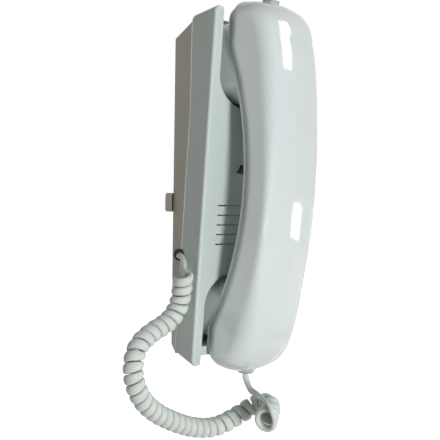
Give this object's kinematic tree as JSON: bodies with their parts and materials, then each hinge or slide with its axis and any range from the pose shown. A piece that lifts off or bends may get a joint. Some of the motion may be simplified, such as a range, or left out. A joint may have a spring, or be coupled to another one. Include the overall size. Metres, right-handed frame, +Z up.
{
  "type": "intercom indoor station",
  "caption": "Wall-mounted door entry station: wedge-shaped case with a receiver resting in two cups, a door release button and a curly cord.",
  "frame": {"origin": "middle of the mounting bar on the wall, halfway between its two screw holes", "axes": "+Y into the wall, -Y towards the person who uses it, +Z up, +X to the right as seen from the front"},
  "size_m": [0.1348, 0.0741, 0.2704],
  "materials": {
    "case_plastic": "satin",
    "rear_plastic": "matte",
    "zinc_steel": "zinc plated",
    "board_laminate": "solder resist",
    "board_screw_steel": "zinc plated",
    "terminal_plastic": "matte",
    "switch_plastic": "matte",
    "component_black": "matte",
    "speaker_steel": "plated",
    "hook_switch_plastic": "matte",
    "grommet_rubber": "matte",
    "cord_pvc": "semi-matt PVC",
    "receiver_plastic": "gloss",
    "receiver_back_plastic": "satin",
    "acoustic_felt": "felt",
    "capsule_metal": "plain",
    "microphone_metal": "plain",
    "boot_rubber": "matte",
    "handset_screw_steel": "zinc plated",
    "cord_grommet_pvc": "matte",
    "plunger_plastic": "satin",
    "button_plastic": "satin"
  },
  "bodies": {
    "base": {"front_cover": "case_plastic", "rear_shell": "rear_plastic", "mounting_bar": "zinc_steel", "circuit_board": "board_laminate", "board_screws": "board_screw_steel", "terminal_block": "terminal_plastic", "touch_switch": "switch_plastic", "board_components": "component_black", "call_speaker": "speaker_steel", "hook_switch": "hook_switch_plastic", "base_grommet": "grommet_rubber", "curly_cord": "cord_pvc"},
    "handset": {"handset_shell": "receiver_plastic", "handset_back": "receiver_back_plastic", "receiver_felt": "acoustic_felt", "receiver_capsule": "capsule_metal", "microphone": "microphone_metal", "microphone_boot": "boot_rubber", "handset_screws": "handset_screw_steel", "handset_grommet": "cord_grommet_pvc"},
    "hook_plunger": {"hook_plunger": "plunger_plastic"},
    "door_button": {"door_button": "button_plastic"}
  },
  "joints": [
    {"name": "handset_lift", "type": "slide", "parent": "base", "child": "handset", "axis": [0, -0.9781, 0.2079], "range_m": [0, 0.06], "deforming": ["curly_cord"]},
    {"name": "hook_plunger", "type": "slide", "parent": "base", "child": "hook_plunger", "axis": [0, -0.9979, -0.064], "range_m": [0, 0.004]},
    {"name": "door_button", "type": "slide", "parent": "base", "child": "door_button", "axis": [0, 0.9979, 0.064], "range_m": [0, 0.0015], "stiffness_N_per_m": 400}
  ],
  "couplings": [
    {"joint": "hook_plunger", "follows": "handset_lift", "ratio": 0.066667}
  ]
}
